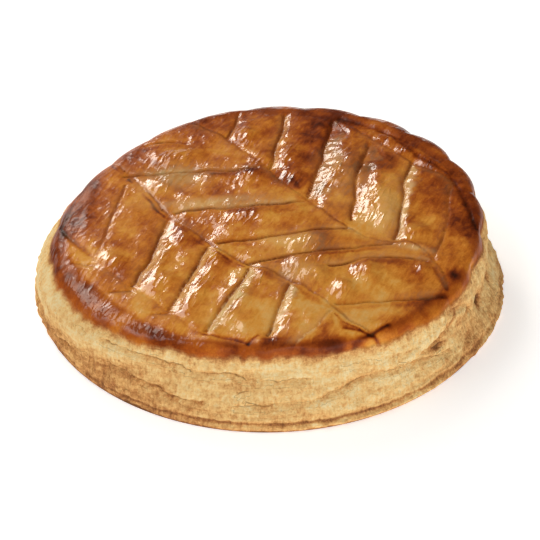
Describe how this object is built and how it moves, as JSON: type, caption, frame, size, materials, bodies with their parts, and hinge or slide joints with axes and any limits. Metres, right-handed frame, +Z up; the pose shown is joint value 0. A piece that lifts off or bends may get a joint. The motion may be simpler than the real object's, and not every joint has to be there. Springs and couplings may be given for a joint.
{
  "type": "galette des rois",
  "caption": "Round puff pastry cake, whole and uncut, with a leaf pattern scored in its glazed puffed lid, a layered side and a flat underside.",
  "frame": {"origin": "middle of the footprint on the flat underside", "axes": "+Z up out of the scored lid; -Y is the front, where the slashes of the outer band end; +X to the right seen from the front"},
  "size_m": [0.2414, 0.2369, 0.0468],
  "materials": {
    "crust": "egg-washed puff pastry baked amber brown, glossy on the lid and dry, pale and flaky down the side"
  },
  "bodies": {
    "root": {"galette": "crust"}
  },
  "joints": []
}
